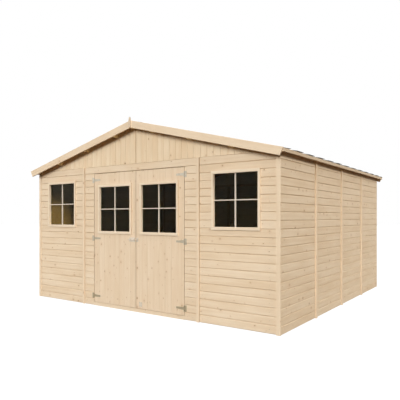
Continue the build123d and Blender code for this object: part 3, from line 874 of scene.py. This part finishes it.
def shingle_courses(name, node, side):
    """A straight starter strip at the eaves, and felt strips over it up to the ridge. Each strip is a thin
    four-cornered section carried along the shed through the corners of its tabs: between two tabs its lower
    edge is cut back, on a tab it is lifted over the strip below and curls a little, a different amount on
    each tab. Every other strip is moved by half a tab."""
    low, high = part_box(node)
    along = np.array([side * cos(PITCH), 0.0, -sin(PITCH)])
    face = np.array([side * sin(PITCH), 0.0, cos(PITCH)])
    ridge = np.array([0.0, 0.0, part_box(node.replace("shingles", "deck"))[1][2]])
    reach = max(abs(low[0]), abs(high[0])) / cos(PITCH)
    step = reach / SHINGLE_COURSES
    sheets = Sheets()

    def strip(stations, lower, head, lift, shift):
        """One strip through its stations, from its lower edge, lifted at each, up to its head."""
        upper = np.full_like(lower, head)
        run = np.stack([lower, upper, upper, lower], axis=1)
        rise = np.stack([lift + SHINGLE_SHEET, 0 * lift + SHINGLE_SHEET, 0 * lift, lift], axis=1)
        rings = ridge + run[..., None] * along + rise[..., None] * face + stations[:, None, None] * Y_AXIS
        place = np.broadcast_to(stations[:, None] - shift, run.shape)
        sheets.add(rings, np.stack([place, run - rise, np.full_like(run, draw.random())], axis=-1))

    ends = np.array([low[1], high[1]])
    starter_edge = reach - STARTER_SETBACK
    strip(ends, np.full(2, starter_edge), starter_edge - STARTER_WIDTH, np.zeros(2), 0.0)
    tab_count = int((high[1] - low[1]) / SHINGLE_TAB) + SPARE_TABS
    between_tabs = np.array([1.0, 0.0, 0.0, 1.0])
    for course in range(SHINGLE_COURSES - 1):
        shift = low[1] + SHINGLE_TAB / 2 * (course % 2) - SHINGLE_TAB - SHINGLE_START
        corners = (np.arange(tab_count)[:, None] + np.array(SHINGLE_CORNER_SHARES)) * SHINGLE_TAB + shift
        curl = draw.uniform(*(EAVES_CURL if course == 0 else SHINGLE_CURL), (tab_count, 1))
        edge = reach - course * step
        head = max(edge - step - SHINGLE_HEAD, RIDGE_GAP)
        stations = np.clip(corners.ravel(), *ends)
        lower = np.broadcast_to(edge - between_tabs * SHINGLE_TAB_CUT, corners.shape).ravel()
        lift = SHINGLE_LIFT * (lower - head) / (edge - head) + ((1.0 - between_tabs) * curl).ravel()
        kept = np.concatenate([[True], np.diff(stations) > 0])
        strip(stations[kept], lower[kept], head, lift[kept], shift)
    sheets.build(name, FELT, "shed", "shingles", node)


def ridge_caps():
    """Felt pieces folded over the ridge, each lapping the next. The section follows both slopes with a
    rounded fold: its height falls with the root of the squared distance from the ridge plus the squared
    fold, and its two edges lie a little higher, on the strips below. The front end of each piece is lifted
    over the piece before it."""
    low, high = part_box("ridge_cap")
    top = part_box("roof_deck_left")[1][2]
    across = np.linspace(low[0], high[0], CAP_POINTS)
    seat = CAP_SEAT + CAP_EDGE_SEAT * np.abs(across) / high[0]
    drop = tan(PITCH) * (np.sqrt(across ** 2 + CAP_FOLD ** 2) - CAP_FOLD) - seat
    whole = high[1] - low[1] - 2 * CAP_INSET - CAP_LAP
    count = round(whole / CAP_PIECE)
    pitch = whole / count
    sheets = Sheets()
    for number in range(count):
        start = low[1] + CAP_INSET + number * pitch
        ends = np.array([start, start + pitch + CAP_LAP])
        lift = np.array([CAP_LIFT, 0.0])[:, None]
        upper = top - drop + lift + CAP_SHEET
        lower = (top - drop + lift)[:, ::-1]
        height = np.concatenate([upper, lower], axis=1)
        side = np.broadcast_to(np.concatenate([across, across[::-1]]), height.shape)
        place = np.broadcast_to(ends[:, None], height.shape)
        rings = np.stack([side, place, height], axis=-1)
        sheets.add(rings, np.stack([place, side, np.full_like(height, draw.random())], axis=-1))
    sheets.build("ridge_cap_pieces", FELT, "shed", "shingles", "ridge_cap")


bargeboards("front_barge_boards", "front_bargeboards", -1)
bargeboards("back_barge_boards", "back_bargeboards", 1)
roof_deck("left_deck_boards", "roof_deck_left", -1)
roof_deck("right_deck_boards", "roof_deck_right", 1)
shingle_courses("left_shingle_courses", "roof_shingles_left", -1)
shingle_courses("right_shingle_courses", "roof_shingles_right", 1)
ridge_caps()

floor_low, floor_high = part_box("floor_deck")
floor = Boards()
floor.panel(np.array([floor_low[0], floor_low[1], floor_high[2]]), X_AXIS, Y_AXIS, Z_AXIS,
            floor_high[0] - floor_low[0], floor_high[1] - floor_low[1], FLOOR_BOARDS,
            floor_high[2] - floor_low[2], SAWN_EASE)
floor.build("floor_boards", SAWN, "shed", "deck_boards", "floor_deck")


# Doors and windows

def window_joinery(name, node, body):
    """Casing, bead, lining and glazing bars of a node's windows. The first three are rings from an outer to
    an inner half size: top and bottom run across, and the sides stand between them. The upright bar runs
    through and the cross bar is in two pieces."""
    frames = Boards()
    bars = Boards()
    for low, high in solid_boxes(node):
        centre = (np.array(low) + np.array(high)) / 2
        half_x, half_z = (high[0] - low[0]) / 2, (high[2] - low[2]) / 2
        sight_x, sight_z = half_x - CASING_SIDE_WIDTH, half_z - CASING_WIDTH
        hole_x, hole_z = sight_x + HOLE_MARGIN, sight_z + HOLE_MARGIN
        middle = np.array([centre[0], low[1], centre[2]])
        behind = middle + CASING_DEPTH * Y_AXIS
        pane = behind + BEAD_DEPTH * Y_AXIS
        ease = (TRIM_EASE, TRIM_EASE)
        square = (SQUARE_EASE, SQUARE_EASE)
        rings = (
            (middle, (half_x, half_z), (sight_x, sight_z), CASING_DEPTH, ease),
            (behind, (hole_x, hole_z), (sight_x - BEAD_STEP, sight_z), BEAD_DEPTH, square),
            (pane, (hole_x, hole_z), (hole_x - LINING, hole_z - LINING), high[1] - pane[1], square),
        )
        for side in SIDES:
            for at, (outer_x, outer_z), (inner_x, inner_z), depth, edge in rings:
                frames.add(at, X_AXIS, side * Z_AXIS, -Y_AXIS, (-outer_x, outer_x), (inner_z, outer_z),
                           depth, edge)
                frames.add(at, Z_AXIS, side * X_AXIS, -Y_AXIS, (-inner_z, inner_z), (inner_x, outer_x),
                           depth, edge)
            bars.add(pane - CROSS_BAR_DEPTH * Y_AXIS, side * X_AXIS, Z_AXIS, -Y_AXIS,
                     (BAR_WIDTH / 2, sight_x), (-CROSS_BAR_WIDTH / 2, CROSS_BAR_WIDTH / 2),
                     CROSS_BAR_DEPTH, ease)
        bars.add(pane - BAR_DEPTH * Y_AXIS, Z_AXIS, X_AXIS, -Y_AXIS, (-sight_z, sight_z),
                 (-BAR_WIDTH / 2, BAR_WIDTH / 2), BAR_DEPTH, ease)
    frames.build(name + "_casing", WINDOW, body, "window_wood", node)
    bars.build(name + "_bars", BARS, body, "window_wood")


def door_leaf(side_name):
    """Upright boards of one leaf, cut round its window, and the ledges across its back."""
    body = side_name + "_door"
    low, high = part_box(body + "_leaf")
    hole = window_hole(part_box(body + "_window_frame"))
    cut = (hole[2] - low[2], hole[3] - low[2], hole[0] - low[0], hole[1] - low[0])
    ledges = [(ledge[0][2] + ledge[1][2]) / 2 - low[2] for ledge in solid_boxes(body + "_ledges")]
    boards = Boards()
    boards.panel(np.array([low[0], low[1], low[2]]), Z_AXIS, X_AXIS, -Y_AXIS, high[2] - low[2],
                 high[0] - low[0], DOOR_BOARDS, high[1] - low[1], DOOR_EASE, cut, DOOR_GAP, ledges)
    boards.build(body + "_boards", DOOR, body, "door_boards", body + "_leaf")
    blocks(body + "_ledges", SAWN, "frame_wood", SAWN_EASE, body)
    window_joinery(body + "_window", body + "_window_frame", body)


window_joinery("wall_windows", "window_frames", "shed")
door_leaf("left")
door_leaf("right")


# Screws in the hinges and the bolt, and a plate at the foot of the right leaf

def hinge_screws(name, node, body, places):
    """Screws on the front of each solid of a node. A place is its distance from the outer end of a hinge
    plate or from the inner end of a strap, and its height above the middle."""
    spots = []
    for low, high in solid_boxes(node):
        side = 1.0 if low[0] + high[0] > 0 else -1.0
        outer = max(abs(low[0]), abs(high[0]))
        inner = min(abs(low[0]), abs(high[0]))
        start, way = (outer, -1.0) if node == "hinge_plates" else (inner, 1.0)
        spots += [(side * (start + way * along), FRONT_Y - HINGE_METAL, (low[2] + high[2]) / 2 + up)
                  for along, up in places]
    round_heads(name, spots, -Y_AXIS, SCREW_RADIUS, SCREW_RISE, body)


def corner_screws(name, body, box):
    """A screw near each corner of an upright plate on the front: its first and last X and Z."""
    (left, right), (foot, top) = box
    spots = [(x, FRONT_Y - HINGE_METAL, z) for x in (left + BOLT_SCREW_INSET, right - BOLT_SCREW_INSET)
             for z in (foot + BOLT_SCREW_INSET, top - BOLT_SCREW_INSET)]
    round_heads(name, spots, -Y_AXIS, SCREW_RADIUS, SCREW_RISE, body)


hinge_screws("hinge_plate_screws", "hinge_plates", "shed",
             [(PLATE_SCREW_INSET, up) for up in (-PLATE_SCREW_RISE, PLATE_SCREW_RISE)])
for door in ("left_door", "right_door"):
    hinge_screws(door + "_strap_screws", door + "_straps", door, [(along, 0.0) for along in STRAP_SCREWS])
for plate_node, plate_body in (("bolt_housing", "left_door"), ("bolt_keeper", "right_door")):
    plate_low, plate_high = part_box(plate_node)
    corner_screws(plate_node + "_screws", plate_body,
                  ((plate_low[0], plate_high[0]), (plate_low[2], plate_high[2])))
foot_plate = Boards()
foot_plate.block([(FOOT_PLATE[0][0], FRONT_Y - HINGE_METAL, FOOT_PLATE[1][0]),
                  (FOOT_PLATE[0][1], FRONT_Y, FOOT_PLATE[1][1])], SQUARE_EASE)
foot_plate.build("foot_plate", PLATE, "right_door", "galvanised_steel")
corner_screws("foot_plate_screws", "right_door", FOOT_PLATE)


# Pieces that keep their CAD shape
for kept_node, kept_material in (
    ("apex_battens", UPRIGHT),
    ("window_panes", GLASS),
    ("left_door_pane", GLASS),
    ("right_door_pane", GLASS),
    ("hinge_plates", ZINC),
    ("left_door_straps", ZINC),
    ("right_door_straps", ZINC),
    ("bolt_housing", PLATE),
    ("bolt_keeper", PLATE),
    ("bolt_rod", PLATE),
):
    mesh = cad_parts[kept_node].data
    mesh.materials.clear()
    mesh.materials.append(kept_material)


# Floor, light and camera

WHITE = (1.0, 1.0, 1.0, 1.0)
FLOOR_REACH = 60.0
FLOOR_GLOW = 0.95
FLOOR_MATT = (0.16, 0.16, 0.16, 1.0)
FLOOR_BOUNCE = (0.10, 0.07, 0.04, 1.0)
SKY_COLOUR = (1.0, 0.72, 0.42, 1.0)
SKY_LEVEL = 0.09

# Soft lights: azimuth from the front towards the right, elevation, level, spread and colour
LAMP_COLOUR = (0.965, 0.985, 1.0)
SIDE_COLOUR = (1.0, 0.99, 0.965)
SOFT_LIGHTS = (
    ("front_light", 4.0, 18.0, 0.787, 28.0, LAMP_COLOUR),
    ("high_light", 0.0, 36.0, 0.12, 40.0, LAMP_COLOUR),
    ("side_light", 84.0, 26.0, 0.632, 18.0, SIDE_COLOUR),
    ("left_light", 266.0, 26.0, 0.62, 40.0, LAMP_COLOUR),
    ("back_light", 178.0, 26.0, 0.66, 40.0, LAMP_COLOUR),
)

# The lamp inside, by the left window
GLOW_PLACE = (-1.18, -1.74, 1.09)
GLOW_POWER = 11.0
GLOW_COLOUR = (1.0, 0.71, 0.27)
GLOW_CONE = 58.0
GLOW_BLEND = 0.6
GLOW_RADIUS = 0.10

CAMERA_PLACE = (3.919, -6.126, 1.204)
CAMERA_TURN = 35.0
CAMERA_LENS = 40.07
CAMERA_SHIFT_Y = 0.0431
CAMERA_REACH = 200.0
LEVEL = radians(90.0)


def seen_directly(graph):
    """1 for rays that show the surroundings: to the camera, in a reflection or through glass."""
    camera = graph.node("ShaderNodeLightPath", {}, {}, "Is Camera Ray")
    glossy = graph.other(camera, "Is Glossy Ray")
    through = graph.other(camera, "Is Transmission Ray")
    return graph.node("ShaderNodeClamp", {}, {0: camera + glossy + through})


def pale_floor():
    """A wide white floor that keeps a light shadow and sends a little warm light back up."""
    corners = np.array([[-1.0, -1.0, 0.0], [1.0, -1.0, 0.0], [1.0, 1.0, 0.0], [-1.0, 1.0, 0.0]])
    mesh = bpy.data.meshes.new("studio_floor")
    mesh.from_pydata((FLOOR_REACH * corners).tolist(), [], [(0, 1, 2, 3)])
    material = bpy.data.materials.new("studio_floor")
    graph = Graph(material)
    glow = graph.node("ShaderNodeEmission", {}, {"Color": WHITE, "Strength": FLOOR_GLOW})
    matt = graph.node("ShaderNodeBsdfDiffuse", {}, {"Color": FLOOR_MATT})
    shown = graph.node("ShaderNodeAddShader", {}, {0: glow, 1: matt})
    bounce = graph.node("ShaderNodeBsdfDiffuse", {}, {"Color": FLOOR_BOUNCE})
    graph.close(graph.node("ShaderNodeMixShader", {}, {0: seen_directly(graph), 1: bounce, 2: shown}))
    mesh.materials.append(material)
    floor_piece = bpy.data.objects.new("studio_floor", mesh)
    bpy.context.scene.collection.objects.link(floor_piece)


def studio_world():
    """White where it is seen, and a softer even light on the shed."""
    world = bpy.data.worlds.new("studio")
    bpy.context.scene.world = world
    graph = Graph(world)
    white = graph.node("ShaderNodeBackground", {}, {"Color": WHITE, "Strength": 1.0})
    sky = graph.node("ShaderNodeBackground", {}, {"Color": SKY_COLOUR, "Strength": SKY_LEVEL})
    graph.close(graph.node("ShaderNodeMixShader", {}, {0: seen_directly(graph), 1: sky, 2: white}),
                "ShaderNodeOutputWorld")


def soft_sun(name, azimuth, elevation, level, spread, colour):
    """A wide soft light. At level 1, a surface that faces it shows its colour as it is written."""
    lamp = bpy.data.lights.new(name, "SUN")
    lamp.energy = level * pi
    lamp.angle = radians(spread)
    lamp.color = colour
    lamp_object = bpy.data.objects.new(name, lamp)
    lamp_object.rotation_euler = (LEVEL - radians(elevation), 0.0, radians(azimuth))
    bpy.context.scene.collection.objects.link(lamp_object)


def inner_glow():
    """Daylight on the inner side of the left wall, as through its window: a level spot that looks left."""
    lamp = bpy.data.lights.new("inner_glow", "SPOT")
    lamp.energy = GLOW_POWER
    lamp.color = GLOW_COLOUR
    lamp.spot_size = radians(GLOW_CONE)
    lamp.spot_blend = GLOW_BLEND
    lamp.shadow_soft_size = GLOW_RADIUS
    lamp_object = bpy.data.objects.new("inner_glow", lamp)
    lamp_object.location = GLOW_PLACE
    lamp_object.rotation_euler = (LEVEL, 0.0, radians(90.0))
    bpy.context.scene.collection.objects.link(lamp_object)


def photo_camera():
    """A level camera in front of the shed, to its right, shifted so that uprights stay upright."""
    lens = bpy.data.cameras.new("camera")
    lens.lens = CAMERA_LENS
    lens.shift_y = CAMERA_SHIFT_Y
    lens.clip_end = CAMERA_REACH
    camera = bpy.data.objects.new("camera", lens)
    camera.location = CAMERA_PLACE
    camera.rotation_euler = (LEVEL, 0.0, radians(CAMERA_TURN))
    bpy.context.scene.collection.objects.link(camera)
    bpy.context.scene.camera = camera


pale_floor()
studio_world()
for soft_light in SOFT_LIGHTS:
    soft_sun(*soft_light)
inner_glow()
photo_camera()
bpy.context.scene.view_settings.view_transform = "Standard"
